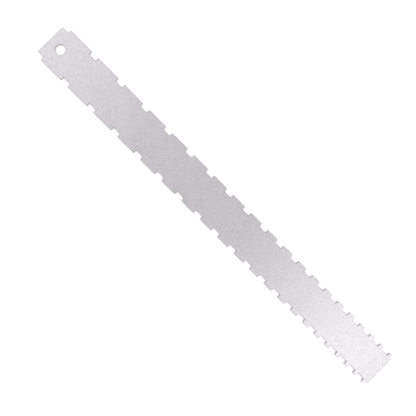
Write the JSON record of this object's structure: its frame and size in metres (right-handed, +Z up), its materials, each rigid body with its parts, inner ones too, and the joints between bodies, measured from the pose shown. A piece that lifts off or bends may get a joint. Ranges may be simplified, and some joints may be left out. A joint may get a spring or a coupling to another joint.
{
  "type": "notched straightedge",
  "caption": "Flat steel blade with square notches along both long edges, spaced to clear guitar frets, and a round hanging hole near one end.",
  "frame": {"origin": "under the middle of the blade, on its lower face", "axes": "+X along the blade from the end with the hole to the other end, +Y towards the edge notched for the longer scale, +Z up out of the upper face"},
  "size_m": [0.4436, 0.039, 0.003],
  "materials": {
    "satin_steel": "satin, fine-grained, pale grey"
  },
  "bodies": {
    "root": {"blade": "satin_steel"}
  },
  "joints": []
}
